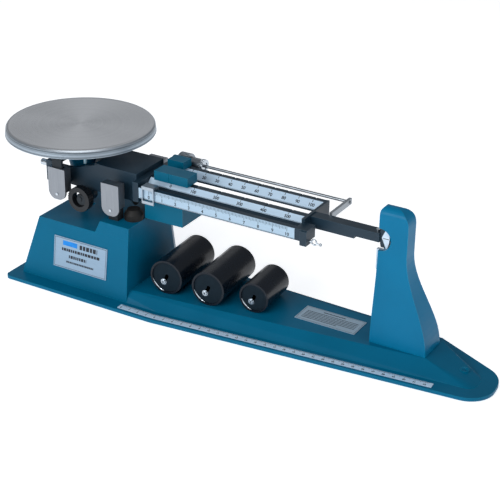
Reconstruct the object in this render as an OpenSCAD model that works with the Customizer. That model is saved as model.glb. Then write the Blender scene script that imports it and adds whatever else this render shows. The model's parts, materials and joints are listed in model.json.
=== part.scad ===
// Triple beam balance with tare beam, damper and three attachment weights.
// Millimetres. +X runs from the pan to the pointer, +Z is up, and the origin is on the
// surface that the balance stands on, at the middle of its length and width.

/* [Layout] */
// Distance from the middle of the balance to the pan's axis
pan_axis = 197; // [190:1:200]
// Distance between the load knife and the fulcrum knife
load_arm = 66; // [62:1:70]
// Height of both knife edges above the surface
knife_z = 110; // [108:0.5:112]
// Distance from the fulcrum knife to the crosspiece that ends the beams
beam_reach = 201; // [196:1:204]

/* [Pan] */
// Diameter of the weighing pan
pan_d = 152; // [140:1:156]
// Height of the top of the pan
pan_top = 159; // [158:0.5:161]
// Depth of the rim that is turned down round the pan
pan_rim = 8.5; // [6:0.5:9]

/* [Base] */
// Width of the base flange
base_w = 150; // [146:1:154]
// Thickness of the base flange
flange_t = 3.5; // [3:0.5:4]
// Height of the deck that carries the attachment weights
deck_z = 15.3; // [14:0.1:15.5]
// Height of the low part of the pedestal
pedestal_z = 69; // [66:0.5:71]
// Height of the raised part of the pedestal, under the fulcrum
pedestal_high_z = 81.5; // [80:0.5:82]
// Wall thickness of the base casting
wall = 3; // [2.5:0.1:3.5]

/* [Pillar] */
// Height of the top of the pointer pillar
pillar_top = 151.3; // [150:0.1:154]
// Length of the pillar at its top, along the beam
pillar_l = 28; // [26:1:30]
// Thickness of the pillar at its top
pillar_t = 17; // [16:0.5:18]
// Width of the slot that the pointer swings in
slot_w = 10; // [9.6:0.1:10.4]

/* [Beams] */
// Width of the beam block between its cheeks
block_w = 48; // [47:0.5:48]
// Height of the top of the beam block
block_top = 130; // [129:0.5:131]
// Height of the top of the front beam
front_top = 120; // [119.5:0.1:120.2]
// Height of the top of the middle beam
middle_top = 123.2; // [122.8:0.1:123.4]
// Height of the top of the back beam
back_top = 124.3; // [124:0.1:124.4]
// Thickness of the printed scale plates
plate_t = 0.6; // [0.5:0.1:0.8]
// Diameter of the tare rod
tare_rod_d = 3; // [2.8:0.1:4]

/* [Poises and weights] */
// Length of the 500 g poise along its beam
poise_500_l = 39; // [36:1:40]
// Length of the 100 g poise along its beam
poise_100_l = 19; // [18:1:22]
// Diameter of the tare poise
tare_poise_d = 19; // [17:0.5:19]
// Diameter of the two large attachment weights
weight_d = 35.8; // [34:0.2:36]
// Length of the two large attachment weights
weight_l = 68; // [64:1:69]
// Diameter of the small attachment weight
small_weight_d = 31.4; // [30:0.2:32]
// Length of the small attachment weight
small_weight_l = 46.4; // [44:0.2:48]
// Angle that the attachment weights lie at, from square across the deck
weight_angle = 3.6; // [0:0.2:4]

/* [Hidden] */
$fn = 64;
hull_fn = 32;
load_x = -pan_axis;
fulcrum_x = load_x + load_arm;
cross_x = fulcrum_x + beam_reach;
knife_h = 7;
knife_w = 6;
running = 0.05;
gap = 0.3;

// base
flange_z = 1;
flange_top = flange_z + flange_t;
base_left = load_x - 50;
taper_x = load_x + 131;
nose_x = load_x + 444.5;
nose_y = -19.5;
nose_r = 26;
front_lean = atan2(nose_y + base_w / 2, nose_x - taper_x)
    - asin(nose_r / norm([nose_x - taper_x, nose_y + base_w / 2]));
back_left_y = 61;
back_right_x = load_x + 392;
back_right_y = 43.8;
crease_in = 16;
pedestal_low_y = 59;
pedestal_top_y = 50;
pedestal_right = load_x + 93;
step_x = load_x + 50;
step_run = 6;
back_chamfer = 13;
back_in = 6;
deck_start = load_x + 60;
deck_start_y = 54;
deck_end = load_x + 401;
deck_end_y = 17;
deck_back_start_y = 38;
deck_back_end_y = 21;
stem_slot_l = 20;
stem_slot_w = 12;
slice = 0.1;
foot_x = load_x - 36;
foot_front_y = -60;
foot_back_y = 54.5;
foot_r = 5.5;
foot_stud_r = 3;
level_x = load_x + 410;
level_wheel_r = 14;
level_screw_r = 3;
level_screw_h = 9;
boss_x = load_x + 435.5;
boss_y = -6;

// pillar
pillar_left = load_x + 343.5;
pillar_right = pillar_left + pillar_l;
pillar_foot_right = deck_end - 1;
flare_z = 107;
foot_half_t = 16.5;
pillar_round = 8.4;
window_z = 119;
window_r = 11.4;
slot_z0 = 74;
slot_z1 = 145;

// beams
cheek_t = 6;
cheek_y = block_w / 2;
arm_left = load_x - 16;
slope_x = load_x + 39;
arm_top = 118;
block_bottom = 100;
block_right = load_x + 84.5;
end_plate_t = 6.5;
beam_start = block_right + end_plate_t;
front_y = -30;
front_t = 5;
front_bottom = 108;
middle_y0 = -14;
middle_y1 = -1.4;
middle_bottom = 110;
back_y0 = 20;
back_y1 = 33;
back_bottom = 115.3;
bevel = 5.6;
back_bevel = 7.3;
rod_y = 43;
rod_z = 123;
cross_t = 3;
lug_x = 6;
lug_l = 13;
neck_w = 12;
neck_top = 123.5;
neck_bottom = 112;
neck_step = load_x + 316.5;
neck_step_z = 114.6;
neck_end = load_x + 342;
pointer_y0 = -4;
pointer_t = 3;
zero_x = load_x + 24.5;
zero_z = 94.5;
zero_r = 13.2;
zero_ring_r = 8;

// covers
cover_w = 21;
cover_h = 34;
cover_t = 1;
cover_y = 44;
cover_depth = 10;
cover_r = 9;
load_cover_z = 90.3;
fulcrum_cover_z = 88;
bearing_y0 = 30;
bearing_y1 = 38;

// pan carrier and check link
bar_z = 131.5;
bar_t = 4;
leg_w = 12;
leg_y0 = 39.5;
leg_y1 = 42.3;
cone_bottom = 112;
peg_top = 137;
peg_ring = 22;
stem_r = 4;
link_z = 46;
link_w = 8;
link_y0 = 5;
link_t = 3;
link_pin_r = 1.5;
open_pivot = 0.3;

// damper, in the pillar's slot
vane_x0 = pillar_left + 3;
vane_t = 0.8;
magnet_z0 = 84;
magnet_t = 2;
index_y = 1.5;

// poises, with the offset of the line that the large poise is read at
rider_x = load_x + 96.5;
poise_500_x = load_x + 100;
poise_100_x = load_x + 93.2;
tare_poise_x = load_x + 93;
read_500 = 17;
web_y = 2;
block_500_top = 104;
notch_500 = 26.4;
read_100 = 10.5;
notch_100 = 15.2;
notch_depth = 0.8;
hook_r = 2.6;
tare_knob_l = 12;
tare_l = 25.5;
tare_neck_r = 6.6;
nut_gap = 0.2;
nut_l = 3.8;

// attachment weights
hub_across = -0.22;
hub_up = -0.35;
hub_r = 3.2;
large_r = weight_d / 2;
small_r = small_weight_d / 2;
a_x = 127.4;
a_y = -38;
b_x = 175.5;
b_y = -36.7;
c_x = 221.1;
c_y = -25.5;

// ---- shared shapes ----

// a box given by its lowest and highest corners
module box(low, high) {
    translate(low) cube(high - low);
}

// a round bar along Y, between two heights of y
module bar_y(x, z, r, y0, y1) {
    translate([x, y0, z]) rotate([-90, 0, 0]) cylinder(r = r, h = y1 - y0);
}

// a round bar along X
module bar_x(y, z, r, x0, x1) {
    translate([x0, y, z]) rotate([0, 90, 0]) cylinder(r = r, h = x1 - x0);
}

// an outline in X and Z, made solid between two values of y
module plate_xz(y0, y1) {
    translate([0, y1, 0]) rotate([90, 0, 0]) linear_extrude(height = y1 - y0) children();
}

// an outline in Y and Z, made solid between two values of x
module plate_yz(x0, x1) {
    translate([x0, 0, 0]) rotate([90, 0, 90]) linear_extrude(height = x1 - x0) children();
}

// the same shape at the front and at the back
module both_sides() {
    children();
    mirror([0, 1, 0]) children();
}

// a flat outline with its front and back edges at different distances from the X axis
module taper_outline(x0, front0, back0, x1, front1, back1) {
    polygon([[x0, -front0], [x1, -front1], [x1, back1], [x0, back0]]);
}

// ---- base ----

// the flange tapers at the front, runs almost straight at the back, and ends in a round nose
module flange_outline() {
    hull() {
        for (y = [-base_w / 2 + 6, back_left_y - 6])
            translate([base_left + 6, y]) circle(r = 6, $fn = hull_fn);
        translate([taper_x - 1, -base_w / 2 + 1]) square(2, center = true);
        translate([nose_x, nose_y]) circle(r = nose_r);
        translate([nose_x - 4.5, nose_y + 6.5]) circle(r = nose_r + 4);
        translate([back_right_x - 1, back_right_y - 1]) square(2, center = true);
    }
}

module deck_body() {
    hull() {
        translate([0, 0, flange_top - 1]) linear_extrude(height = 1.2)
            offset(delta = -crease_in) flange_outline();
        translate([0, 0, deck_z - slice]) linear_extrude(height = slice)
            taper_outline(deck_start, deck_start_y, deck_back_start_y,
                deck_end, deck_end_y, deck_back_end_y);
    }
}

// a round boss with a dimple, on the slope of the nose
module nose_boss() {
    translate([boss_x, boss_y, 6]) difference() {
        cylinder(r = 4.6, h = 3.4);
        translate([0, 0, 1.8]) cylinder(r1 = 1.6, r2 = 3.4, h = 1.7);
    }
}

// outline of the pedestal, drawn in by some distance; its back right corner is cut off
module pedestal_outline(x0, x1, half, inset) {
    polygon([
        [x0 + inset, -half + inset],
        [x1 - inset, -half + inset],
        [x1 - inset, half - 2 * back_chamfer],
        [x1 - back_chamfer, half - back_in - inset],
        [x0 + inset, half - back_in - inset]
    ]);
}

module pedestal_low(inset, z0, z1) {
    hull() {
        translate([0, 0, z0]) linear_extrude(height = slice)
            pedestal_outline(load_x - 39, pedestal_right, pedestal_low_y, inset);
        translate([0, 0, z1 - slice]) linear_extrude(height = slice)
            pedestal_outline(load_x - 20, pedestal_right - 2, pedestal_top_y, inset);
    }
}

module pedestal_high() {
    hull() {
        translate([0, 0, pedestal_z - 1]) linear_extrude(height = slice)
            pedestal_outline(step_x, pedestal_right - 2, pedestal_top_y, 0);
        translate([0, 0, pedestal_high_z - slice]) linear_extrude(height = slice)
            pedestal_outline(step_x + step_run, pedestal_right - 2.4, pedestal_top_y - 1.5, 0);
    }
}

module base_casting() {
    color("steelblue") difference() {
        union() {
            translate([0, 0, flange_z]) linear_extrude(height = flange_t) flange_outline();
            deck_body();
            pedestal_low(0, flange_top, pedestal_z);
            pedestal_high();
            nose_boss();
        }
        // the space inside the pedestal
        pedestal_low(wall, flange_z - 1, pedestal_z - wall);
        box([step_x + step_run + wall, -pedestal_top_y + 6, pedestal_z - 10],
            [pedestal_right - 2 - wall, pedestal_top_y - 32, pedestal_high_z - wall]);
        // the space under the deck
        translate([0, 0, flange_z - 1]) linear_extrude(height = deck_z - wall)
            taper_outline(pedestal_right - 2 * wall, 46, 31, level_x - 22, 13, 13);
        // slot for the stem of the pan carrier
        box([load_x - stem_slot_l / 2, -stem_slot_w / 2, pedestal_z - wall - 1],
            [load_x + stem_slot_l / 2, stem_slot_w / 2, pedestal_z + 1]);
        // seats of the rubber feet
        for (y = [foot_front_y, foot_back_y])
            translate([foot_x, y, 0]) cylinder(r = foot_stud_r, h = 3.4);
        // guide hole and wheel recess of the levelling foot
        translate([level_x, 0, 0]) cylinder(r = level_screw_r + running, h = level_screw_h + gap);
        translate([level_x, 0, 0]) cylinder(r = level_wheel_r + 1.5, h = 6);
    }
}

module rubber_feet() {
    color("black")
        for (y = [foot_front_y, foot_back_y])
            translate([foot_x, y, 0]) {
                cylinder(r = foot_r, h = flange_z);
                cylinder(r = foot_stud_r, h = 3.4);
            }
}

module levelling_foot() {
    color("silver") translate([level_x, 0, 0]) {
        cylinder(r = level_screw_r, h = level_screw_h);
        cylinder(r = 8, h = 1.6);
    }
}

module levelling_wheel() {
    ribs = 24;
    color("black") translate([level_x, 0, 1.9]) difference() {
        cylinder(r = level_wheel_r, h = 3.8);
        translate([0, 0, -1]) cylinder(r = level_screw_r + running, h = 6);
        for (i = [0:ribs - 1])
            rotate([0, 0, i * 360 / ribs]) translate([level_wheel_r + 0.4, 0, -1])
                cylinder(r = 1, h = 6, $fn = 16);
    }
}

module front_plate() {
    face_z = flange_top + slice;
    lean = atan((pedestal_low_y - pedestal_top_y) / (pedestal_z - face_z));
    mid_z = 38;
    mid_y = pedestal_low_y - (mid_z - face_z) * tan(lean) + 0.02;
    color("gainsboro") translate([load_x + 34, -mid_y, mid_z]) rotate([-lean, 0, 0])
        box([-33, -0.8, -16.5], [33, 0, 16.5]);
}

module deck_plate() {
    color("gainsboro")
        box([load_x + 260, -13, deck_z], [load_x + 325, 14, deck_z + 0.6]);
}

// the ruler follows the flange's tapering front edge
module ruler_strip() {
    color("gainsboro") translate([taper_x - 40, -base_w / 2 + 3, flange_top]) {
        box([0, 0, 0], [40, 7, 0.6]);
        translate([40, 0, 0]) rotate([0, 0, front_lean]) box([0, 0, 0], [290, 7, 0.6]);
    }
}

// ---- pillar ----

// a smooth S curve from near, at flare_z, to far, at the deck
function ease(t) = t * t * (3 - 2 * t);
function flare(z, far, near) =
    z >= flare_z ? near : near + (far - near) * ease((flare_z - z) / (flare_z - deck_z));

module pillar_profile() {
    r = 15;
    polygon(concat(
        [for (z = [deck_z:6:flare_z]) [flare(z, pillar_foot_right, pillar_right), z]],
        [for (a = [0:10:90])
            [pillar_right - r + r * cos(a), pillar_top - r + r * sin(a)]],
        [for (a = [90:15:180]) [pillar_left + 4 + 5 * cos(a), pillar_top - 5 + 5 * sin(a)]],
        [[pillar_left - 1, 70], [pillar_left - 1, deck_z]]
    ));
}

module pillar_section() {
    steps = [for (z = [deck_z:6:flare_z]) z];
    top = [for (a = [0:15:90])
        [pillar_t / 2 - pillar_round * (1 - cos(a)), pillar_top - pillar_round * (1 - sin(a))]];
    right = concat([for (z = steps) [flare(z, foot_half_t, pillar_t / 2), z]], top);
    last = len(right) - 1;
    polygon(concat(right, [for (i = [0:last]) [-right[last - i][0], right[last - i][1]]]));
}

module pillar() {
    color("deepskyblue") difference() {
        intersection() {
            plate_xz(-30, 30) pillar_profile();
            plate_yz(pillar_left - 10, pillar_foot_right + 10) pillar_section();
        }
        // slot that the pointer swings in
        box([pillar_left - 10, -slot_w / 2, slot_z0], [pillar_left + 17, slot_w / 2, slot_z1]);
        // half-round window in the front cheek
        bar_y(pillar_left, window_z, window_r, -30, 0);
        box([pillar_left - 10, -30, window_z - window_r], [pillar_left, 0, window_z + window_r]);
        magnet_pockets(magnet_t);
    }
}

module index_plate() {
    color("white")
        box([pillar_left - 7, index_y, 83], [pillar_left + 1, slot_w / 2, 104]);
}

// ---- damper ----

// two magnets set into the walls of the pillar's slot
module magnet_pockets(depth) {
    both_sides() box([vane_x0 + 1, slot_w / 2 - 1, magnet_z0],
        [vane_x0 + 12, slot_w / 2 + depth, magnet_z0 + 16]);
}

module damper_magnets() {
    color("dimgray") difference() {
        magnet_pockets(magnet_t);
        box([vane_x0, -slot_w / 2, magnet_z0 - 1], [vane_x0 + 13, slot_w / 2, magnet_z0 + 17]);
    }
}

// a thin plate that swings between the magnets with the beam
module damper_vane() {
    color("silver") box([vane_x0, pointer_y0 + pointer_t, 86],
        [vane_x0 + 11.5, pointer_y0 + pointer_t + vane_t, 116]);
}

// ---- fulcrum ----

module fulcrum_posts() {
    color("dimgray") both_sides()
        box([fulcrum_x - 6, bearing_y0 - 1, pedestal_high_z],
            [fulcrum_x + 5, bearing_y1 + 1, knife_z - 6]);
}

module fulcrum_bearings() {
    color("silver") both_sides() plate_xz(bearing_y0, bearing_y1)
        polygon([
            [fulcrum_x - 5, knife_z - 6], [fulcrum_x + 5, knife_z - 6],
            [fulcrum_x + 5, knife_z + 2.2], [fulcrum_x, knife_z - gap],
            [fulcrum_x - 5, knife_z + 2.2]
        ]);
}

module fulcrum_knives() {
    color("silver") both_sides() plate_xz(cheek_y, bearing_y1 + 2)
        polygon([
            [fulcrum_x, knife_z], [fulcrum_x + knife_w / 2, knife_z + knife_h],
            [fulcrum_x - knife_w / 2, knife_z + knife_h]
        ]);
}

module load_knives() {
    color("silver") both_sides() plate_xz(cheek_y, bearing_y1)
        polygon([
            [load_x, knife_z], [load_x - knife_w / 2, knife_z - knife_h],
            [load_x + knife_w / 2, knife_z - knife_h]
        ]);
}

// a folded steel cover, open at the back and below, with a rounded lower edge
module bearing_cover(x, z) {
    x0 = x - cover_w / 2;
    x1 = x + cover_w / 2;
    module face(inset) {
        union() {
            translate([x0 + inset, z + cover_r]) square([cover_w - 2 * inset, cover_h - cover_r - inset]);
            translate([x0 + cover_r, z + inset]) square([cover_w - 2 * cover_r, cover_h - cover_r]);
            for (cx = [x0 + cover_r, x1 - cover_r])
                translate([cx, z + cover_r]) circle(r = cover_r - inset);
        }
    }
    difference() {
        plate_xz(-cover_y, -cover_y + cover_depth) face(0);
        plate_xz(-cover_y + cover_t, -cover_y + cover_depth + 1) face(cover_t);
        box([x0 - 1, -cover_y + cover_t + 1.5, z - 1], [x1 + 1, 0, z + cover_r]);
    }
}

// the cover of the load knives, notched at the top for the stirrup leg
module load_cover() {
    difference() {
        bearing_cover(load_x, load_cover_z);
        box([load_x - leg_w / 2 - gap, -leg_y1 - gap, load_cover_z + cover_h - cover_t - 1],
            [load_x + leg_w / 2 + gap, 0, load_cover_z + cover_h + 1]);
    }
}

module fulcrum_cover_front() {
    color("lightgray") bearing_cover(fulcrum_x, fulcrum_cover_z);
}

module fulcrum_cover_back() {
    color("lightgray") mirror([0, 1, 0]) bearing_cover(fulcrum_x, fulcrum_cover_z);
}

module fulcrum_cover_screws() {
    color("silver") both_sides() {
        bar_y(fulcrum_x, fulcrum_cover_z + 6, 1.4, cover_y, cover_y + 0.7);
        bar_y(fulcrum_x, fulcrum_cover_z + 6, 2, bearing_y1 + 1, cover_y - cover_t);
    }
}

module rest_stop() {
    color("black") translate([load_x + 81, -25, pedestal_high_z]) {
        cylinder(r = 9.6, h = 6);
        translate([0, 0, 6]) cylinder(r1 = 9.6, r2 = 6.5, h = 5);
    }
}

module rest_stud() {
    color("gray") translate([load_x + 78.5, -17.9, block_bottom - 6]) cylinder(r1 = 2, r2 = 6, h = 6);
}

// ---- beam ----

module block_side() {
    polygon([
        [arm_left, 101.5], [load_x + 12, block_bottom], [block_right, block_bottom],
        [block_right, block_top], [slope_x, block_top], [load_x + 3, arm_top],
        [arm_left, arm_top]
    ]);
}

module middle_beam_outline() {
    polygon([
        [middle_y0, middle_bottom], [middle_y1, middle_bottom], [middle_y1, middle_top],
        [middle_y0 + bevel, middle_top], [middle_y0, middle_top - bevel]
    ]);
}

module back_beam_outline() {
    polygon([
        [back_y0, back_bottom], [back_y1, back_bottom], [back_y1, back_top],
        [back_y0 + back_bevel, back_top], [back_y0, back_top - back_bevel]
    ]);
}

// V notches across the top of a beam, where its poise settles
module notches(x, pitch, last, y0, y1, z) {
    for (i = [0:last])
        plate_xz(y0 - 1, y1 + 1) translate([x + i * pitch, z]) rotate(45)
            square(notch_depth * sqrt(2), center = true);
}

module beam_casting() {
    color("black") difference() {
        beam_solid();
        notches(poise_500_x + read_500, notch_500, 5, middle_y0, middle_y1, middle_top);
        notches(poise_100_x + read_100, notch_100, 10, back_y0, back_y1, back_top);
    }
}

module beam_solid() {
    beam_end = cross_x + 1;
    union() {
        // the two cheeks, and the solid block between them
        both_sides() plate_xz(-cheek_y, -cheek_y + cheek_t) block_side();
        box([slope_x - 6, -cheek_y + 1, block_bottom], [block_right, cheek_y - 1, block_top]);
        // lug for the zero knob, and lugs for the balance screws
        bar_y(zero_x, zero_z, 7, -cheek_y, -cheek_y + cheek_t);
        both_sides() box([arm_left - 4, -34, 104], [arm_left + 4, -cheek_y + 3, arm_top + 8]);
        // plate that the three beams and the tare rod start from
        difference() {
            union() {
                box([block_right, front_y - 1, 104], [beam_start, rod_y + 4, 124.5]);
                bar_x(rod_y, rod_z, 4.5, block_right, beam_start);
            }
            bar_x(rod_y, rod_z, tare_rod_d / 2, block_right + 1.5, beam_start + 1);
        }
        box([beam_start, front_y, front_bottom], [beam_end, front_y + front_t, front_top]);
        plate_yz(beam_start, beam_end) middle_beam_outline();
        plate_yz(beam_start, beam_end) back_beam_outline();
        // crosspiece and its front lug
        box([cross_x, -17, middle_bottom - 2], [cross_x + cross_t, back_y1, 124.6]);
        box([cross_x, front_y, front_bottom], [cross_x + lug_l, -14, front_top]);
        box([cross_x + lug_x, front_y - 1.5, 104.5], [cross_x + lug_l, -22, front_top - 1]);
        // neck, shallower towards the pointer
        box([cross_x + cross_t, -neck_w / 2, neck_bottom], [neck_step, neck_w / 2, neck_top]);
        box([neck_step - 1, -neck_w / 2, neck_step_z], [neck_end, neck_w / 2, neck_top]);
    }
}

module front_scale() {
    color("white") box([beam_start + 0.5, front_y - plate_t, front_bottom + 1],
        [cross_x, front_y, front_top - 0.2]);
}

// a plate lying on the sloping face of a beam
module sloping_scale(y, z, run) {
    color("white") translate([beam_start + 0.5, y, z]) rotate([45, 0, 0])
        box([0, 0.3, 0], [cross_x - beam_start - 0.5, run * sqrt(2) - 0.3, plate_t]);
}

module middle_scale() {
    sloping_scale(middle_y0, middle_top - bevel, bevel);
}

module back_scale() {
    sloping_scale(back_y0, back_top - back_bevel, back_bevel);
}

module pointer() {
    color("black") plate_xz(pointer_y0, pointer_y0 + pointer_t)
        polygon([
            [neck_end, 114.5], [neck_end + 1, 109.5], [neck_end + 6, 109.5], [neck_end + 8.5, 115],
            [neck_end + 8.5, 125], [neck_end + 6, 130.5], [neck_end + 1, 130.5],
            [neck_end, neck_top - 2]
        ]);
}

module pointer_face() {
    x0 = pillar_left + 1.5;
    color("white") plate_xz(pointer_y0 - 0.5, pointer_y0)
        polygon([
            [x0 - 1, 119.5], [x0 + 3.4, 129.4], [x0 + 4.8, 128.6], [x0 + 6.4, 123.8], [x0 + 6.8, 120],
            [x0 + 6.4, 115.2], [x0 + 4.8, 109.6], [x0 + 3.8, 108.8]
        ]);
}

module tare_rod() {
    color("silver") bar_x(rod_y, rod_z, tare_rod_d / 2, block_right + 1.5, load_x + 288);
}

module tare_link() {
    x0 = load_x + 284;
    color("silver") difference() {
        box([x0, neck_w / 2, rod_z - 3], [x0 + 3, rod_y + 3.5, rod_z + 3]);
        bar_x(rod_y, rod_z, tare_rod_d / 2, x0 - 1, x0 + 4);
    }
}

module zero_stud() {
    color("silver") bar_y(zero_x, zero_z, 2.5, -39.5, -cheek_y);
}

// a knurled ring with a web that leaves a crescent open to one side of its bore
module zero_knob() {
    ribs = 30;
    color("black") difference() {
        bar_y(zero_x, zero_z, zero_r, -41, -33);
        bar_y(zero_x, zero_z, zero_ring_r, -42, -36);
        difference() {
            bar_y(zero_x, zero_z, zero_ring_r, -37, -32);
            bar_y(zero_x + 1.6, zero_z - 1.2, zero_ring_r - 0.7, -38, -31);
        }
        bar_y(zero_x, zero_z, 2.5 + running, -42, -32);
        for (i = [0:ribs - 1])
            translate([zero_x, -42, zero_z]) rotate([0, i * 360 / ribs, 0])
                translate([zero_r + 0.35, 0, 0]) rotate([-90, 0, 0]) cylinder(r = 0.8, h = 10, $fn = 16);
    }
}

// a weight set to one side of the knob's middle, so that turning it moves the balance point
module zero_hub() {
    color("dimgray") difference() {
        bar_y(zero_x + 1.4, zero_z - 1, 5.4, -38.6, -36);
        bar_y(zero_x, zero_z, 2.5 + running, -40, -35);
    }
}

// a pin with a ring and a ball end, that an attachment weight hooks on
module hanger_pin() {
    color("silver") translate([cross_x + lug_l, 0, 0]) {
        bar_x(-26, 108.5, 1.3, 0, 3);
        translate([5.6, -26, 108.5]) rotate([90, 0, 0])
            rotate_extrude() translate([hook_r, 0]) circle(r = 0.8, $fn = 24);
        bar_x(-26, 107.5, 0.8, 7.6, 12.4);
        translate([12.4, -26, 107.5]) sphere(r = 1.5, $fn = 24);
    }
}

module balance_screws() {
    color("silver") {
        both_sides() bar_x(-30, 121, 3.4, arm_left - 12, arm_left - 4);
        translate([neck_end - 4, 0, neck_top]) cylinder(r = 1.8, h = 1.6);
    }
}

// ---- pan carrier ----

module pan_support() {
    pad_r = 44;
    pad_top = pan_top - 1.5 - gap;
    color("steelblue") difference() {
        translate([load_x, 0, 0]) rotate_extrude() polygon([
            [0, cone_bottom], [12.5, cone_bottom], [16.5, bar_z], [19, bar_z + bar_t],
            [19, peg_top], [25, peg_top], [30, 146], [pad_r, 153], [pad_r, pad_top],
            [pad_r - 5, pad_top], [pad_r - 7, 153], [28, 149.5], [0, 149.5]
        ]);
        both_sides() box([load_x - leg_w / 2, 13, bar_z], [load_x + leg_w / 2, 50, bar_z + bar_t]);
        translate([load_x, 0, 140]) cylinder(r = 5 + running, h = 20);
    }
}

module support_pegs() {
    color("lightblue")
        for (a = [45:90:315])
            translate([load_x + peg_ring * cos(a), peg_ring * sin(a), peg_top - 13.5])
                cylinder(r = 1.7, h = 13.5, $fn = 24);
}

module stirrup_legs() {
    color("dimgray") both_sides() {
        box([load_x - leg_w / 2, 13, bar_z], [load_x + leg_w / 2, leg_y1, bar_z + bar_t]);
        box([load_x - leg_w / 2, leg_y0, knife_z - 16], [load_x + leg_w / 2, leg_y1, bar_z]);
    }
}

module load_bearings() {
    color("silver") both_sides() plate_xz(bearing_y0, leg_y0)
        polygon([
            [load_x - 5, knife_z + 6], [load_x + 5, knife_z + 6],
            [load_x + 5, knife_z - 2.2], [load_x, knife_z + gap],
            [load_x - 5, knife_z - 2.2]
        ]);
}

module load_cover_front() {
    color("lightgray") load_cover();
}

module load_cover_back() {
    color("lightgray") mirror([0, 1, 0]) load_cover();
}

module load_cover_rivets() {
    color("silver") both_sides() {
        bar_y(load_x, load_cover_z + 6, 1.4, cover_y, cover_y + 0.7);
        bar_y(load_x, load_cover_z + 6, 2, leg_y1, cover_y - cover_t);
    }
}

module check_stem() {
    color("dimgray") {
        translate([load_x, 0, link_z + 5]) cylinder(r = stem_r, h = cone_bottom - link_z - 5);
        box([load_x - 4, -4, link_z - 4], [load_x + 4, 4, link_z + 5]);
        bar_y(load_x, link_z, link_pin_r, 3, 9);
    }
}

module check_link() {
    color("silver") difference() {
        union() {
            box([load_x, link_y0, link_z - link_w / 2], [fulcrum_x, link_y0 + link_t, link_z + link_w / 2]);
            for (x = [load_x, fulcrum_x])
                bar_y(x, link_z, link_w / 2, link_y0, link_y0 + link_t);
        }
        bar_y(load_x, link_z, link_pin_r + open_pivot, link_y0 - 1, link_y0 + link_t + 1);
        bar_y(fulcrum_x, link_z, link_pin_r + running, link_y0 - 1, link_y0 + link_t + 1);
    }
}

module link_bracket() {
    color("dimgray") {
        box([fulcrum_x - 6, 9.5, link_z - 6], [fulcrum_x + 6, 12.5, pedestal_high_z - wall]);
        bar_y(fulcrum_x, link_z, link_pin_r, link_y0 - 1, 10);
    }
}

// ---- pan ----

module pan() {
    r = pan_d / 2;
    color("silver") translate([load_x, 0, 0]) {
        rotate_extrude($fn = 128) polygon([
            [0, pan_top - 1.5], [r - 3.5, pan_top - 1.5], [r - 1.6, pan_top - 2.4],
            [r - 0.6, pan_top - pan_rim], [r + 0.8, pan_top - pan_rim], [r - 0.2, pan_top - 1.6],
            [r - 1.4, pan_top - 0.2], [r - 3, pan_top], [r - 5, pan_top - 0.3], [0, pan_top - 0.3]
        ]);
        translate([0, 0, 141]) cylinder(r = 5, h = pan_top - 1.5 - 141);
    }
}

// ---- riders and poises ----

module rider_10() {
    w = 14;
    y0 = front_y - plate_t - 2.2;
    y1 = front_y - plate_t - 0.7;
    color("gainsboro") translate([rider_x, 0, 0]) difference() {
        union() {
            box([0, y0, 105.2], [w, y1, front_top + 3.6]);
            box([0, y1, front_top + gap], [w, front_y + front_t + 1.9, front_top + 3.6]);
            box([0, front_y + front_t + 0.4, 112], [w, front_y + front_t + 1.9, front_top + 2]);
        }
        // window that the scale is read through
        box([1, y0 - 1, front_bottom + 0.2], [w - 1, y1 + 0.1, front_top + 0.1]);
    }
}

module poise_500() {
    x0 = poise_500_x;
    x1 = x0 + poise_500_l;
    z0 = middle_top + 1.6;
    color("teal") difference() {
        union() {
            box([x0, middle_y0 - 1.5, z0], [x1, web_y, middle_top + 11.3]);
            box([x0, middle_y1 + 0.4, block_500_top], [x1 - 7, web_y, z0 + 1]);
            // rests on the beam at the line that the poise is read at
            box([x0 + read_500 - 2, middle_y1 - 5, middle_top + gap],
                [x0 + read_500 + 2, middle_y1 + 1, z0 + 1]);
        }
        // line on the front where the poise is read
        translate([x0 + read_500, middle_y0 - 1.5, z0 - 1]) rotate([0, 0, 45])
            translate([-0.45, -0.45, 0]) cube([0.9, 0.9, 20]);
    }
}

// the hanging mass of the large poise, under the beams
module poise_500_block() {
    color("teal") box([poise_500_x - 7.5, -22, 84], [poise_500_x + poise_500_l - 2, 14, block_500_top]);
}

module poise_100() {
    x0 = poise_100_x;
    x1 = x0 + poise_100_l;
    z0 = back_top + 0.7;
    color("teal") {
        box([x0, back_y0 - 1.5, z0], [x1, back_y1, back_top + 8.9]);
        box([x0, back_y0 - 1.5, back_top - back_bevel + 2], [x0 + 3, back_y0 - 0.4, z0 + 1]);
    }
}

// grooves along a knob that lies on the tare rod
module knurl(r, x0, x1, ribs) {
    for (i = [0:ribs - 1])
        translate([x0, rod_y, rod_z]) rotate([i * 360 / ribs, 0, 0]) translate([0, 0, r + 0.3])
            rotate([0, 90, 0]) cylinder(r = 0.7, h = x1 - x0, $fn = 16);
}

module tare_poise() {
    r = tare_poise_d / 2;
    color("gray") difference() {
        union() {
            bar_x(rod_y, rod_z, r, tare_poise_x, tare_poise_x + tare_knob_l);
            bar_x(rod_y, rod_z, tare_neck_r, tare_poise_x, tare_poise_x + tare_l);
        }
        bar_x(rod_y, rod_z, tare_rod_d / 2 + running, tare_poise_x - 1, tare_poise_x + tare_l + 1);
        knurl(r, tare_poise_x - 1, tare_poise_x + tare_knob_l + 1, 32);
    }
}

// a knurled nut on the end of the tare poise, that clamps it to its rod
module tare_lock_nut() {
    x0 = tare_poise_x + tare_l + nut_gap;
    x1 = x0 + nut_l;
    color("silver") difference() {
        bar_x(rod_y, rod_z, tare_neck_r + 0.4, x0, x1);
        bar_x(rod_y, rod_z, tare_rod_d / 2 + running, x0 - 1, x1 + 1);
        bar_x(rod_y, rod_z, 4, x1 - 0.8, x1 + 1);
        knurl(tare_neck_r + 0.4, x0 - 1, x1 + 1, 24);
    }
}

// ---- attachment weights ----

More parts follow.
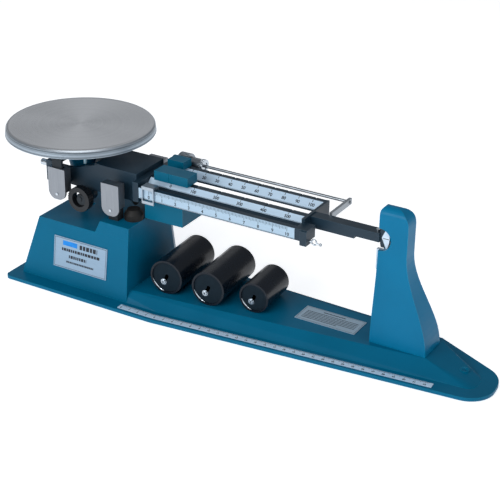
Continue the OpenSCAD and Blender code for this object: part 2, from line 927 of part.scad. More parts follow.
// placed with its axis across the deck, front end first
module on_deck(x, y, r) {
    translate([load_x + x, y, deck_z + r + 0.15]) rotate([0, 0, weight_angle]) children();
}

module weight_body(r, l) {
    color("black") difference() {
        bar_y(0, 0, r, 0, l);
        bar_y(0, 0, r - 2, -1, 3);
        bar_y(0, 0, r - 6, -1, l - 14);
    }
}

// the end cap has a keyhole that hooks on the hanger pin
module weight_cap(r) {
    x = r * hub_across;
    z = r * hub_up;
    color("dimgray") difference() {
        bar_y(0, 0, r - 2, 1.5, 3);
        bar_y(x, z, hub_r, 0, 4);
        bar_y(0, 0.8, 2, 0, 4);
        translate([x, 0, z]) rotate([0, atan2(x, z) - 180, 0]) box([-1.8, 0, 0], [1.8, 4, norm([x, z])]);
    }
}

module weight_hub(r) {
    x = r * hub_across;
    z = r * hub_up;
    color("silver") difference() {
        union() {
            bar_y(x, z, 2.3, 0.4, 8);
            bar_y(x, z, hub_r, 1.5, 3);
        }
        bar_y(x, z, 1.2, 0, 2.4);
    }
}

module weight_a_body() on_deck(a_x, a_y, large_r) weight_body(large_r, weight_l);
module weight_a_cap() on_deck(a_x, a_y, large_r) weight_cap(large_r);
module weight_a_hub() on_deck(a_x, a_y, large_r) weight_hub(large_r);
module weight_b_body() on_deck(b_x, b_y, large_r) weight_body(large_r, weight_l);
module weight_b_cap() on_deck(b_x, b_y, large_r) weight_cap(large_r);
module weight_b_hub() on_deck(b_x, b_y, large_r) weight_hub(large_r);
module weight_c_body() on_deck(c_x, c_y, small_r) weight_body(small_r, small_weight_l);
module weight_c_cap() on_deck(c_x, c_y, small_r) weight_cap(small_r);
module weight_c_hub() on_deck(c_x, c_y, small_r) weight_hub(small_r);

base_casting();
pillar();
damper_magnets();
damper_vane();
front_plate();
deck_plate();
ruler_strip();
fulcrum_posts();
fulcrum_bearings();
fulcrum_cover_front();
fulcrum_cover_back();
fulcrum_cover_screws();
index_plate();
rest_stop();
rest_stud();
rubber_feet();
link_bracket();
check_link();
check_stem();
beam_casting();
fulcrum_knives();
load_knives();
front_scale();
middle_scale();
back_scale();
pointer();
pointer_face();
tare_rod();
tare_link();
zero_stud();
zero_knob();
zero_hub();
hanger_pin();
balance_screws();
pan();
pan_support();
support_pegs();
stirrup_legs();
load_bearings();
load_cover_front();
load_cover_back();
load_cover_rivets();
rider_10();
poise_100();
poise_500();
poise_500_block();
tare_poise();
tare_lock_nut();
weight_a_body();
weight_a_cap();
weight_a_hub();
weight_b_body();
weight_b_cap();
weight_b_hub();
weight_c_body();
weight_c_cap();
weight_c_hub();
levelling_foot();
levelling_wheel();
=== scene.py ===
"""Looks of the triple beam balance: materials, printed scales and plates, and a plain studio."""
import json
import math
import random

import bmesh
import bpy
from mathutils import Matrix, Vector


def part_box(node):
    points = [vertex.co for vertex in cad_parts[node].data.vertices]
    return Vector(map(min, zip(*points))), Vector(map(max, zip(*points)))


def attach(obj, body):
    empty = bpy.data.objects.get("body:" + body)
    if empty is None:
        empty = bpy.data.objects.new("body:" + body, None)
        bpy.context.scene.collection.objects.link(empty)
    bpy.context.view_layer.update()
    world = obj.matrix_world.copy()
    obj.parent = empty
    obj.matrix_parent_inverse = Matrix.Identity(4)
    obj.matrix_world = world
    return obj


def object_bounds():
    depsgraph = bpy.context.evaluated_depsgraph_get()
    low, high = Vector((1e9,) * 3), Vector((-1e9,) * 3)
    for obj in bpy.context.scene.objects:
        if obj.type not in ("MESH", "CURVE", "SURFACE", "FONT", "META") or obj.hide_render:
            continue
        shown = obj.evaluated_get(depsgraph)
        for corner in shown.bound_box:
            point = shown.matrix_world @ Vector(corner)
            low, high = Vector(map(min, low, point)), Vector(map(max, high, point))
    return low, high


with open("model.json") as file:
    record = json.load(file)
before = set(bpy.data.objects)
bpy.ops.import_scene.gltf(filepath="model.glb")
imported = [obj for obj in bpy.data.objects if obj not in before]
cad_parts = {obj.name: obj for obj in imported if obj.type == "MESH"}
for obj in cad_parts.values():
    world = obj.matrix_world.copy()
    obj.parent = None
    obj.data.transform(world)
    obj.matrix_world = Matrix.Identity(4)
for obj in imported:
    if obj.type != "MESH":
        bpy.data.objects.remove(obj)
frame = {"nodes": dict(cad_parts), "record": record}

MM = 0.001
INK = 0.08 * MM  # thickness of a printed mark, half of it above its face
BOLD = 0.12 * MM  # how far the outline of a printed number is moved outwards
cad_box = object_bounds()
record = frame["record"]
node_objects = frame["nodes"]
random.seed(7)


def low(node):
    return Vector(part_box(node)[0])


def high(node):
    return Vector(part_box(node)[1])


def middle(node):
    return (low(node) + high(node)) / 2


# ---- materials ----


def scaled(colour, factor):
    return tuple(channel * factor for channel in colour)


class Look:
    """A Principled material with short helpers for the nodes that feed it."""

    def __init__(self, name, colour, roughness, metallic=0.0):
        self.material = bpy.data.materials.new(name)
        self.material.use_nodes = True
        self.tree = self.material.node_tree
        self.bsdf = self.tree.nodes["Principled BSDF"]
        self.bsdf.inputs["Metallic"].default_value = metallic
        self.bsdf.inputs["Base Color"].default_value = (*colour, 1)
        self.bsdf.inputs["Roughness"].default_value = roughness
        self.colour = colour
        self.roughness = roughness

    def node(self, kind, **values):
        made = self.tree.nodes.new(kind)
        for key, value in values.items():
            setattr(made, key, value)
        return made

    def link(self, out, into):
        self.tree.links.new(out, into)

    def coords(self, scale=(1, 1, 1)):
        source = self.node("ShaderNodeTexCoord")
        mapping = self.node("ShaderNodeMapping")
        mapping.inputs["Scale"].default_value = scale
        self.link(source.outputs["Object"], mapping.inputs["Vector"])
        return mapping.outputs["Vector"]

    def noise(self, scale, detail=3, stretch=(1, 1, 1), vector=None):
        made = self.node("ShaderNodeTexNoise")
        made.inputs["Scale"].default_value = scale
        made.inputs["Detail"].default_value = detail
        self.link(vector or self.coords(stretch), made.inputs["Vector"])
        return made.outputs["Fac"]

    def spread(self, value, low_out, high_out, low_in=0.3, high_in=0.7):
        made = self.node("ShaderNodeMapRange")
        for key, number in zip(("From Min", "From Max", "To Min", "To Max"),
                               (low_in, high_in, low_out, high_out)):
            made.inputs[key].default_value = number
        self.link(value, made.inputs["Value"])
        return made.outputs["Result"]

    def mix_colours(self, factor, first, second):
        """Mixes two colours; each is three numbers or the output of another node."""
        mix = self.node("ShaderNodeMix", data_type="RGBA")
        for key, colour in (("A", first), ("B", second)):
            if isinstance(colour, tuple):
                mix.inputs[key].default_value = (*colour, 1)
            else:
                self.link(colour, mix.inputs[key])
        self.link(factor, mix.inputs["Factor"])
        return mix.outputs["Result"]

    def set_colour(self, colour):
        self.link(colour, self.bsdf.inputs["Base Color"])

    def vary_colour(self, value, amount):
        """The base colour goes from a darker to a lighter tone as value goes from 0.3 to 0.7."""
        darker = scaled(self.colour, 1 - amount)
        lighter = scaled(self.colour, 1 + amount)
        varied = self.mix_colours(self.spread(value, 0, 1), darker, lighter)
        self.set_colour(varied)
        return varied

    def vary_roughness(self, value, amount):
        self.link(self.spread(value, self.roughness - amount, self.roughness + amount),
                  self.bsdf.inputs["Roughness"])

    def bump(self, value, strength, distance):
        made = self.node("ShaderNodeBump")
        made.inputs["Strength"].default_value = strength
        made.inputs["Distance"].default_value = distance
        self.link(value, made.inputs["Height"])
        self.link(made.outputs["Normal"], self.bsdf.inputs["Normal"])

    def worn_edges(self, colour, radius, tone):
        """The base colour moves from colour towards tone where the surface bends within radius: paler
        edges, partly wear and partly a painted highlight along the creases.
        """
        bevel = self.node("ShaderNodeBevel", samples=4)
        bevel.inputs["Radius"].default_value = radius
        geometry = self.node("ShaderNodeNewGeometry")
        dot = self.node("ShaderNodeVectorMath", operation="DOT_PRODUCT")
        self.link(bevel.outputs["Normal"], dot.inputs[0])
        self.link(geometry.outputs["Normal"], dot.inputs[1])
        bend = self.spread(dot.outputs["Value"], 0.6, 0.0, 0.9, 0.995)
        self.set_colour(self.mix_colours(bend, colour, tone))


def paint(name, colour, roughness, peel=0.12, edge=None, shine=0.12):
    """Enamel with a slight orange peel; edge is the paler tone that its edges move towards, partly wear
    and partly a painted highlight.
    """
    look = Look(name, colour, roughness)
    look.bsdf.inputs["Specular IOR Level"].default_value = shine
    colour_out = look.vary_colour(look.noise(18, 4), 0.07)
    look.vary_roughness(look.noise(60, 5), 0.05)
    look.bump(look.noise(1500, 2), peel, 0.05 * MM)
    if edge:
        # Paler edges: partly wear and partly a painted highlight.
        look.worn_edges(colour_out, 0.7 * MM, edge)
    return look.material


def brushed(name, colour, roughness, stretch, grain=0.2):
    """Metal with fine lines; stretch is small along the lines."""
    look = Look(name, colour, roughness, 1.0)
    lines = look.noise(3000, 3, stretch)
    look.vary_colour(look.noise(900, 3, stretch), 0.05)
    look.vary_roughness(lines, 0.08)
    look.bump(lines, grain, 0.03 * MM)
    return look.material


def plain_metal(name, colour, roughness):
    """Plated or cast metal with no direction to its grain."""
    look = Look(name, colour, roughness, 1.0)
    look.vary_colour(look.noise(120, 4), 0.06)
    look.vary_roughness(look.noise(500, 4), 0.05)
    look.bump(look.noise(2500, 2), 0.06, 0.03 * MM)
    return look.material


def moulded(name, colour, roughness, grain=0.3, shine=0.3):
    """Moulded plastic, rubber or ink."""
    look = Look(name, colour, roughness)
    look.bsdf.inputs["Specular IOR Level"].default_value = shine
    look.vary_colour(look.noise(200, 4), 0.12)
    look.vary_roughness(look.noise(800, 3), 0.06)
    look.bump(look.noise(2200, 3), grain, 0.06 * MM)
    return look.material


def radius_from(look, axis):
    """The distance from a vertical axis, as the X of a vector."""
    source = look.node("ShaderNodeTexCoord")
    shift = look.node("ShaderNodeVectorMath", operation="SUBTRACT")
    shift.inputs[1].default_value = (axis.x, axis.y, 0)
    look.link(source.outputs["Object"], shift.inputs[0])
    flat = look.node("ShaderNodeVectorMath", operation="MULTIPLY")
    flat.inputs[1].default_value = (1, 1, 0)
    look.link(shift.outputs["Vector"], flat.inputs[0])
    radius = look.node("ShaderNodeVectorMath", operation="LENGTH")
    look.link(flat.outputs["Vector"], radius.inputs[0])
    place = look.node("ShaderNodeCombineXYZ")
    look.link(radius.outputs["Value"], place.inputs["X"])
    return place.outputs["Vector"]


def spun(name, colour, shaded_side_colour, roughness, axis):
    """Stainless steel with fine rings round a vertical axis; its side gets painted shade in a darker
    colour, with painted reflection in lighter and darker bands along its height.
    """
    look = Look(name, colour, roughness, 1.0)
    radius = radius_from(look, axis)
    rings = look.noise(4200, 4, vector=radius)
    top = look.vary_colour(look.noise(260, 3, vector=radius), 0.045)
    # Painted reflection: lighter and darker bands along the height of the side.
    painted_reflection_bands = look.spread(look.noise(1, 2, (0, 0, 420)), 0, 1, 0.38, 0.62)
    side = look.mix_colours(painted_reflection_bands, scaled(shaded_side_colour, 0.5), scaled(shaded_side_colour, 2.2))
    geometry = look.node("ShaderNodeNewGeometry")
    split = look.node("ShaderNodeSeparateXYZ")
    look.link(geometry.outputs["Normal"], split.inputs["Vector"])
    # Painted shade: faces that turn away from upward take the darker side colour, faces that point up
    # take the lit top colour.
    lit_top_share = look.spread(split.outputs["Z"], 0, 1, 0.5, 0.9)
    look.set_colour(look.mix_colours(lit_top_share, side, top))
    look.vary_roughness(rings, 0.06)
    look.bump(rings, 0.16, 0.03 * MM)
    look.bsdf.inputs["Anisotropic"].default_value = 0.82
    tangent = look.node("ShaderNodeTangent", direction_type="RADIAL", axis="Z")
    look.link(tangent.outputs["Tangent"], look.bsdf.inputs["Tangent"])
    return look.material


def printed(name, colour, roughness, metallic=0.35):
    """Printed sheet with a faint grain along X."""
    look = Look(name, colour, roughness, metallic)
    look.vary_colour(look.noise(2600, 3, (0.04, 1, 1)), 0.05)
    look.vary_roughness(look.noise(90, 4), 0.06)
    look.bump(look.noise(3200, 2, (0.05, 1, 1)), 0.08, 0.02 * MM)
    return look.material


pan_axis = middle("pan")
LOOKS = {
    # The edge tones below make paler edges, partly wear and partly a painted highlight.
    "base_blue": paint("base_blue", (0.0, 0.108, 0.206), 0.38, edge=(0.0, 0.20, 0.32), shine=0.09),
    "pillar_blue": paint("pillar_blue", (0.0, 0.142, 0.285), 0.34, edge=(0.0, 0.32, 0.54), shine=0.12),
    "beam_black": paint("beam_black", (0.009, 0.026, 0.044), 0.42, 0.2,
                        edge=(0.035, 0.085, 0.125), shine=0.3),
    # The second colour is the painted shade on the pan's side.
    "pan_steel": spun("pan_steel", (0.62, 0.64, 0.67), (0.16, 0.19, 0.22), 0.30, pan_axis),
    "cover_steel": brushed("cover_steel", (0.26, 0.28, 0.31), 0.45, (1, 1, 0.03)),
    "bright_steel": plain_metal("bright_steel", (0.50, 0.55, 0.60), 0.2),
    "hard_steel": brushed("hard_steel", (0.27, 0.30, 0.33), 0.32, (0.04, 1, 1)),
    "printed_plate": printed("printed_plate", (0.35, 0.48, 0.60), 0.42),
    "name_plate": printed("name_plate", (0.24, 0.35, 0.47), 0.45),
    # scale_plate is a lighter copy of printed_plate: painted light for the sloping scales and the ruler.
    "scale_plate": printed("scale_plate", (0.50, 0.66, 0.82), 0.5, 0.1),
    "poise_blue": paint("poise_blue", (0.0, 0.104, 0.186), 0.38, edge=(0.004, 0.22, 0.33), shine=0.12),
    "rider_silver": brushed("rider_silver", (0.36, 0.42, 0.48), 0.38, (0.04, 1, 1)),
    "black_plastic": moulded("black_plastic", (0.008, 0.010, 0.013), 0.36),
    "white_plastic": moulded("white_plastic", (0.56, 0.68, 0.80), 0.4, 0.1),
    "pale_plastic": moulded("pale_plastic", (0.42, 0.66, 0.78), 0.4, 0.1),
    "rubber": moulded("rubber", (0.011, 0.011, 0.011), 0.62, 0.5),
    "weight_black": paint("weight_black", (0.003, 0.007, 0.014), 0.26, 0.1, shine=0.25),
    "weight_cap": moulded("weight_cap", (0.006, 0.014, 0.022), 0.55, 0.6, 0.1),
    "magnet": plain_metal("magnet", (0.12, 0.12, 0.13), 0.5),
    "vane": brushed("vane", (0.7, 0.7, 0.72), 0.3, (1, 1, 0.04)),
    "casting_grey": paint("casting_grey", (0.022, 0.028, 0.034), 0.5, 0.3),
}
INK_LOOK = moulded("ink", (0.010, 0.014, 0.022), 0.5, 0.05)
INK_BLUE = moulded("ink_blue", (0.0, 0.19, 0.6), 0.45, 0.05)


# ---- pieces ----

SHARP = math.radians(30)  # edges that turn by more than this are rounded


def round_edges(obj, width):
    bevel = obj.modifiers.new("edges", "BEVEL")
    bevel.width = width
    bevel.segments = 2
    bevel.limit_method = "ANGLE"
    bevel.angle_limit = SHARP
    bevel.harden_normals = True


# Widths of the rounded edges in millimetres; a node that isn't listed has SMALL_ROUND.
ROUND = {
    "base_casting": 1.2, "pillar": 1.6, "beam_casting": 0.5, "poise_500": 0.4, "poise_500_block": 0.6,
    "poise_100": 0.4, "rider_10": 0.25, "tare_poise": 0.5, "pan": 0.3, "pan_support": 0.6,
    "weight_a_body": 0.8, "weight_b_body": 0.8, "weight_c_body": 0.8, "weight_a_cap": 0.2,
    "weight_b_cap": 0.2, "weight_c_cap": 0.2, "fulcrum_cover_front": 0.5, "fulcrum_cover_back": 0.5,
    "load_cover_front": 0.5, "load_cover_back": 0.5, "zero_knob": 0.4, "zero_hub": 0.3,
    "rest_stop": 0.8, "index_plate": 0.2, "pointer": 0.3,
}
SMALL_ROUND = 0.15
# Nodes that look different from the rest of their slot; the sloping scales and the ruler get the lighter
# scale_plate as painted light, since they face the lamps less than the front scale.
NODE_LOOKS = {
    "middle_scale": "scale_plate", "back_scale": "scale_plate", "ruler_strip": "scale_plate",
    "front_plate": "name_plate", "zero_hub": "casting_grey", "zero_stud": "casting_grey",
}

for part in record["subparts"]:
    obj = node_objects[part["node"]]
    for slot in obj.material_slots:
        slot.material = LOOKS[NODE_LOOKS.get(part["node"], part["material_slot"])]
    round_edges(obj, ROUND.get(part["node"], SMALL_ROUND) * MM)


def piece(name, bm, look, body):
    """Makes a mesh piece from bm that rides on a body."""
    mesh = bpy.data.meshes.new(name)
    bmesh.ops.recalc_face_normals(bm, faces=bm.faces)
    bm.to_mesh(mesh)
    bm.free()
    mesh.materials.append(look)
    obj = bpy.data.objects.new(name, mesh)
    bpy.context.scene.collection.objects.link(obj)
    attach(obj, body)


def plane(origin, right, up):
    """Matrix of a printed face: x runs right, y runs up, z comes out of the face."""
    right = Vector(right).normalized()
    up = Vector(up).normalized()
    out = right.cross(up)
    return Matrix.Translation(origin) @ Matrix((right, up, out)).transposed().to_4x4()


def add_box(bm, place, x0, y0, x1, y1):
    """A thin raised mark between two corners of a printed face."""
    size = Matrix.Diagonal((x1 - x0, y1 - y0, INK, 1))
    centre = Matrix.Translation(((x0 + x1) / 2, (y0 + y1) / 2, 0))
    bmesh.ops.create_cube(bm, size=1, matrix=place @ centre @ size)


def add_text(bm, place, words, x, y, size):
    """Raised characters, centred at x and y of a printed face."""
    curve = bpy.data.curves.new("glyphs", "FONT")
    curve.body = words
    curve.size = size
    curve.extrude = INK / 2
    curve.offset = BOLD
    curve.align_x = "CENTER"
    curve.align_y = "CENTER"
    curve.resolution_u = 3
    holder = bpy.data.objects.new("glyphs", curve)
    mesh = bpy.data.meshes.new_from_object(holder)
    mesh.transform(place @ Matrix.Translation((x, y, 0)))
    bm.from_mesh(mesh)
    bpy.data.objects.remove(holder)
    bpy.data.curves.remove(curve)
    bpy.data.meshes.remove(mesh)


def add_tick(bm, place, x, y0, y1, width):
    add_box(bm, place, x - width / 2, y0, x + width / 2, y1)


def add_frame(bm, place, x0, y0, x1, y1, width):
    """Four lines round a rectangle."""
    add_box(bm, place, x0, y0, x1, y0 + width)
    add_box(bm, place, x0, y1 - width, x1, y1)
    add_box(bm, place, x0, y0 + width, x0 + width, y1 - width)
    add_box(bm, place, x1 - width, y0 + width, x1, y1 - width)


def add_dashes(bm, place, x0, x1, y, height, shortest, longest):
    """A row of plain dashes, as small print looks from a distance."""
    x = x0
    while x < x1:
        end = min(x1, x + random.uniform(shortest, longest))
        add_box(bm, place, x, y - height / 2, end, y + height / 2)
        x = end + DASH_GAP * height


def add_row(bm, place, row):
    """Adds dashes from a row of millimetres, in the order of PLATE_ROWS."""
    add_dashes(bm, place, *[number * MM for number in row])


def find_joint(name):
    return next(joint for joint in record["behaviour"]["joints"] if joint["name"] == name)


def travel(name):
    return find_joint(name)["range_m"][1]


DASH_GAP = 0.22  # gap between dashes, as a share of their height
LINE = 0.25 * MM  # width of a thin printed line
END_MARGIN = 1 * MM  # from the ends of a plate to the lines on it
SHEET = 0.6 * MM  # thickness of the two sloping scales

# The front scale: a tick for each 0.1 g and a number for each gram.
GRAMS = 10
FRONT_TICK = 0.42 * MM
FRONT_EDGE = 0.5 * MM
FRONT_LINE_Y = 0.45 * MM
FRONT_NUMBER = 4.6 * MM
FRONT_NUMBER_Y = 0.28  # as a share of the face's height
WHOLE, HALF, TENTH = 0.42, 0.32, 0.24  # lengths of the ticks, as shares of the face's height
front_low, front_high = low("front_scale"), high("front_scale")
face_height = front_high.z - front_low.z
front_place = plane((0, front_low.y, front_low.z), (1, 0, 0), (0, 0, 1))
rider_zero = middle("rider_10").x
gram = travel("rider_10_slide") / GRAMS
bm = bmesh.new()
for tick in range(10 * GRAMS + 1):
    length = (WHOLE if tick % 10 == 0 else HALF if tick % 5 == 0 else TENTH) * face_height
    tick_top = face_height - FRONT_EDGE
    add_tick(bm, front_place, rider_zero + tick * gram / 10, tick_top - length, tick_top, FRONT_TICK)
for number in range(GRAMS + 1):
    add_text(bm, front_place, str(number), rider_zero + number * gram,
             FRONT_NUMBER_Y * face_height, FRONT_NUMBER)
add_box(bm, front_place, front_low.x + END_MARGIN, FRONT_LINE_Y, front_high.x - END_MARGIN,
        FRONT_LINE_Y + LINE)
piece("front_scale_print", bm, INK_LOOK, "beam")


def sloping_place(node):
    """The face of a thin sheet that faces halfway between the front and the top."""
    out = Vector((0, -1, 1)).normalized()
    centre = middle(node) + out * SHEET / 2
    return plane((0, centre.y, centre.z), (1, 0, 0), (0, 1, 1))


def notch_scale(name, node, slide, zero, count, step, size, tick):
    """A scale with a number and a tick at each notch, spaced evenly along the travel of slide."""
    bm = bmesh.new()
    pitch = travel(slide) / count
    place = sloping_place(node)
    half = (high(node).z - low(node).z) / math.sqrt(2) - SHEET
    for i in range(count + 1):
        x = zero + i * pitch
        add_tick(bm, place, x, half - tick, half, NOTCH_TICK)
        add_text(bm, place, str(i * step), x, NOTCH_NUMBER_Y * half, size)
    add_box(bm, place, low(node).x + END_MARGIN, -half, high(node).x - END_MARGIN, -half + LINE)
    piece(name, bm, INK_LOOK, "beam")


NOTCH_TICK = 0.56 * MM
NOTCH_NUMBER_Y = -0.18  # as a share of half the print's height
POISE_500_READ = 17 * MM  # from a poise's left end to the place that it is read at
POISE_100_READ = 10.5 * MM
notch_scale("middle_scale_print", "middle_scale", "poise_500_slide",
            low("poise_500").x + POISE_500_READ, count=5, step=100, size=4.4 * MM, tick=1.6 * MM)
notch_scale("back_scale_print", "back_scale", "poise_100_slide",
            low("poise_100").x + POISE_100_READ, count=10, step=10, size=4.6 * MM, tick=2.2 * MM)

# The ruler on the flange: millimetre ticks and centimetre numbers, round its one bend.
RULER_WIDTH = 7 * MM
RULER_STRAIGHT = 40 * MM
RULER_SLOPING = 290 * MM
RULER_MARGIN = 3 * MM
RULER_TICK = 0.38 * MM
RULER_EDGE = 0.2 * MM
RULER_NUMBER, RULER_NUMBER_Y = 3.0 * MM, 1.9 * MM
CENTIMETRE, FIVE, MILLIMETRE = 3.2 * MM, 2.4 * MM, 1.6 * MM  # from the sheet's edge to the ticks' ends
ruler_low, ruler_high = low("ruler_strip"), high("ruler_strip")
lean = math.asin((ruler_high.y - ruler_low.y - RULER_WIDTH) / RULER_SLOPING)
along = Vector((math.cos(lean), math.sin(lean), 0))
across = Vector((-math.sin(lean), math.cos(lean), 0))
ruler_start = Vector((ruler_low.x, ruler_low.y, ruler_high.z))
ruler_bend = ruler_start + Vector((RULER_STRAIGHT, 0, 0))
ruler_end = RULER_STRAIGHT + RULER_SLOPING
ruler_parts = (
    (plane(ruler_start, (1, 0, 0), (0, 1, 0)), 0, RULER_STRAIGHT),
    (plane(ruler_bend, along, across), RULER_STRAIGHT, ruler_end),
)
bm = bmesh.new()
for place, start, end in ruler_parts:
    for tick in range(int((ruler_end - 2 * RULER_MARGIN) / MM) + 1):
        at = RULER_MARGIN + tick * MM
        if not start <= at < end:
            continue
        length = CENTIMETRE if tick % 10 == 0 else FIVE if tick % 5 == 0 else MILLIMETRE
        add_tick(bm, place, at - start, RULER_WIDTH - length, RULER_WIDTH - RULER_EDGE, RULER_TICK)
        if tick % 10 == 0:
            add_text(bm, place, str(tick // 10), at - start, RULER_NUMBER_Y, RULER_NUMBER)
piece("ruler_print", bm, INK_LOOK, "base")

# The front plate: a border, a coloured band and rows of plain dashes in place of wording.
PLATE_HEIGHT = 33 * MM
PLATE_T = 0.8 * MM
FRAME_HALF_X, FRAME_HALF_Y, FRAME_LINE = 32 * MM, 15.6 * MM, 0.4 * MM
# Each row: its left and right ends, the middle of its height, its height, and its shortest and
# longest dash, all in millimetres from the middle of the plate.
PLATE_ROWS = (
    (-1, 21, 10.4, 4.6, 2.6, 4.4),
    (-23, 24, 4.0, 3.0, 1.6, 3.8),
    (-14, 8, -2.6, 3.2, 1.4, 3.0),
    (-17, 17, -8.6, 2.0, 1.0, 2.4),
)
PLATE_BAND = (-22, 8.4, -4, 13.4)  # left, lower, right and upper edge of the band
plate_low, plate_high = low("front_plate"), high("front_plate")
plate_lean = math.asin((plate_high.y - plate_low.y - PLATE_T) / PLATE_HEIGHT)
plate_up = Vector((0, math.sin(plate_lean), math.cos(plate_lean)))
plate_out = Vector((1, 0, 0)).cross(plate_up)
plate_place = plane(middle("front_plate") + plate_out * PLATE_T / 2, (1, 0, 0), plate_up)
bm = bmesh.new()
for row in PLATE_ROWS:
    add_row(bm, plate_place, row)
add_frame(bm, plate_place, -FRAME_HALF_X, -FRAME_HALF_Y, FRAME_HALF_X, FRAME_HALF_Y, FRAME_LINE)
piece("front_plate_print", bm, INK_LOOK, "base")
bm = bmesh.new()
add_box(bm, plate_place, *[number * MM for number in PLATE_BAND])
piece("front_plate_band", bm, INK_BLUE, "base")

# The table plate on the deck: a border, a heading and rows of dashes, the last one shorter.
DECK_HEADING = (-12, 12, 9, 1.3, 1.0, 2.4)
DECK_ROWS = 6
FIRST_ROW, ROW_PITCH = 5, 2.6
ROW_HALF, LAST_ROW_END = 28, 10
deck_half = (high("deck_plate") - low("deck_plate")) / 2
deck_centre = middle("deck_plate")
deck_place = plane((deck_centre.x, deck_centre.y, high("deck_plate").z), (1, 0, 0), (0, 1, 0))
bm = bmesh.new()
add_frame(bm, deck_place, -deck_half.x + END_MARGIN, -deck_half.y + END_MARGIN,
          deck_half.x - END_MARGIN, deck_half.y - END_MARGIN, LINE)
add_row(bm, deck_place, DECK_HEADING)
for row in range(DECK_ROWS):
    row_end = ROW_HALF if row < DECK_ROWS - 1 else LAST_ROW_END
    add_row(bm, deck_place, (-ROW_HALF, row_end, FIRST_ROW - row * ROW_PITCH, 0.9, 0.8, 2.6))
piece("deck_plate_print", bm, INK_LOOK, "base")

# The balance mark on the pointer's face.
MARK_LEFT = 1.2 * MM
MARK_RIGHT_MARGIN = 0.6 * MM
MARK_HALF = 0.3 * MM
face_low, face_high = low("pointer_face"), high("pointer_face")
pointer_place = plane((face_low.x, face_low.y, middle("pointer_face").z), (1, 0, 0), (0, 0, 1))
bm = bmesh.new()
add_box(bm, pointer_place, MARK_LEFT, -MARK_HALF, face_high.x - face_low.x - MARK_RIGHT_MARGIN, MARK_HALF)
piece("pointer_mark", bm, INK_LOOK, "beam")

# Painted reflections: bright steel arcs on the inner wall of each weight's front rim, at the lower left,
# where the rim's lip reflects the light.
CAP_DEPTH = 2.25 * MM  # from the rim to the middle of the cap's thickness
ARC_START, ARC_END = math.radians(196), math.radians(258)
ARC_STEPS = 20
ARC_WIDTH = 0.8 * MM
ARC_TIP = 0.12  # share of ARC_WIDTH added all along, so that the ends have some width
ARC_IN_WALL = 0.02 * MM  # how far the arc reaches into the wall
ARC_FRONT, ARC_LIP, ARC_BACK = 0.2 * MM, 0.5 * MM, 1.4 * MM  # depths behind the rim


def rim_arc(letter):
    cap = f"weight_{letter}_cap"
    outward = Vector(find_joint(f"weight_{letter}_out")["axis"])
    sideways = Vector((-outward.y, outward.x, 0))
    rim = middle(cap) + outward * CAP_DEPTH
    wall = (high(cap).z - low(cap).z) / 2
    bm = bmesh.new()
    sections = []
    for i in range(ARC_STEPS + 1):
        share = i / ARC_STEPS
        angle = ARC_START + (ARC_END - ARC_START) * share
        spoke = sideways * math.cos(angle) + Vector((0, 0, math.sin(angle)))
        inner = wall - ARC_WIDTH * (ARC_TIP + math.sin(math.pi * share))
        outer = wall + ARC_IN_WALL
        corners = ((outer, ARC_FRONT), (inner, ARC_LIP), (inner, ARC_BACK), (outer, ARC_BACK))
        sections.append([bm.verts.new(rim + spoke * r - outward * depth) for r, depth in corners])
    for a, b in zip(sections, sections[1:]):
        for i in range(4):
            bm.faces.new((a[i], a[(i + 1) % 4], b[(i + 1) % 4], b[i]))
    bm.faces.new(sections[0])
    bm.faces.new(reversed(sections[-1]))
    # A bright strip that stands in for the reflection in the rim.
    piece(f"weight_{letter}_rim", bm, LOOKS["bright_steel"], f"weight_{letter}")


for letter in "abc":
    rim_arc(letter)

# ---- camera, floor and light ----

CAMERA_AZIMUTH = math.radians(30.54)
CAMERA_ELEVATION = math.radians(26.45)
CAMERA_ROLL = math.radians(-0.64)
CAMERA_PLACE = Vector((0.6290, -1.0586, 0.6789))
LENS = 100.82

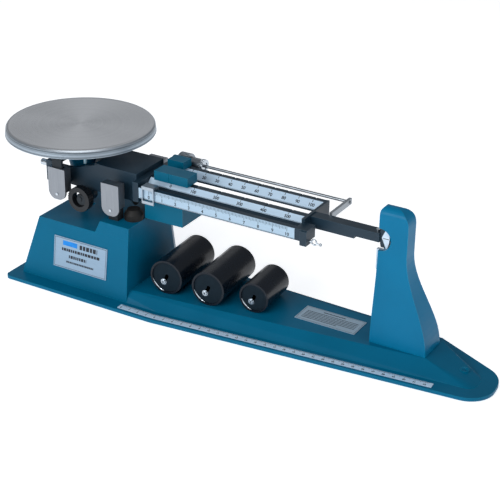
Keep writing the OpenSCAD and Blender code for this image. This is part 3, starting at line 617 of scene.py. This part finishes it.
forward = Vector((-math.sin(CAMERA_AZIMUTH) * math.cos(CAMERA_ELEVATION),
                  math.cos(CAMERA_AZIMUTH) * math.cos(CAMERA_ELEVATION),
                  -math.sin(CAMERA_ELEVATION)))
level = Vector((math.cos(CAMERA_AZIMUTH), math.sin(CAMERA_AZIMUTH), 0))
down = forward.cross(level)
right = level * math.cos(CAMERA_ROLL) + down * math.sin(CAMERA_ROLL)
down = down * math.cos(CAMERA_ROLL) - level * math.sin(CAMERA_ROLL)
camera_data = bpy.data.cameras.new("camera")
camera_data.lens = LENS
camera_data.sensor_width = 36
camera_data.clip_start = 0.01
camera = bpy.data.objects.new("camera", camera_data)
camera_turn = Matrix((right, -down, -forward)).transposed().to_4x4()
camera.matrix_world = Matrix.Translation(CAMERA_PLACE) @ camera_turn
bpy.context.scene.collection.objects.link(camera)
bpy.context.scene.camera = camera

FLOOR_HALF = 6
FLOOR_GLOW = 0.66
FLOOR_DROP = 0.2 * MM
floor_look = Look("floor", (0.86, 0.87, 0.88), 0.75)
floor_look.vary_colour(floor_look.noise(3, 2), 0.01)
floor_look.bsdf.inputs["Emission Color"].default_value = (0.97, 0.98, 1, 1)
floor_look.bsdf.inputs["Emission Strength"].default_value = FLOOR_GLOW
bm = bmesh.new()
bmesh.ops.create_grid(bm, x_segments=1, y_segments=1, size=FLOOR_HALF)
floor_mesh = bpy.data.meshes.new("floor")
bm.to_mesh(floor_mesh)
bm.free()
floor_mesh.materials.append(floor_look.material)
floor = bpy.data.objects.new("floor", floor_mesh)
floor.location.z = cad_box[0][2] - FLOOR_DROP
bpy.context.scene.collection.objects.link(floor)


def area_light(name, place, target, size, power):
    """A rectangular soft light at place that points at target."""
    data = bpy.data.lights.new(name, "AREA")
    data.shape = "RECTANGLE"
    data.size, data.size_y = size
    data.energy = power
    light = bpy.data.objects.new(name, data)
    direction = Vector(target) - Vector(place)
    light.location = place
    light.rotation_euler = direction.to_track_quat("-Z", "Y").to_euler()
    bpy.context.scene.collection.objects.link(light)


# Places, targets and sizes are in metres and powers in watts.
area_light("key", (-0.5, -1.6, 0.75), (0, 0, 0.08), (1.2, 0.7), 17)
area_light("top_front", (0.3, -0.9, 1.5), (0, 0, 0.08), (1.2, 0.8), 6)
area_light("side", (1.7, -0.1, 0.7), (0.05, 0, 0.08), (0.8, 0.8), 5)
area_light("pan_glow", (-1.1, 1.54, 1.05), (-0.19, 0, 0.15), (1.0, 0.8), 0.8)

world = bpy.data.worlds.new("world")
world.use_nodes = True
world.node_tree.nodes["Background"].inputs["Color"].default_value = (0.93, 0.96, 1.0, 1)
world.node_tree.nodes["Background"].inputs["Strength"].default_value = 0.3
bpy.context.scene.world = world
bpy.context.scene.view_settings.view_transform = "Standard"
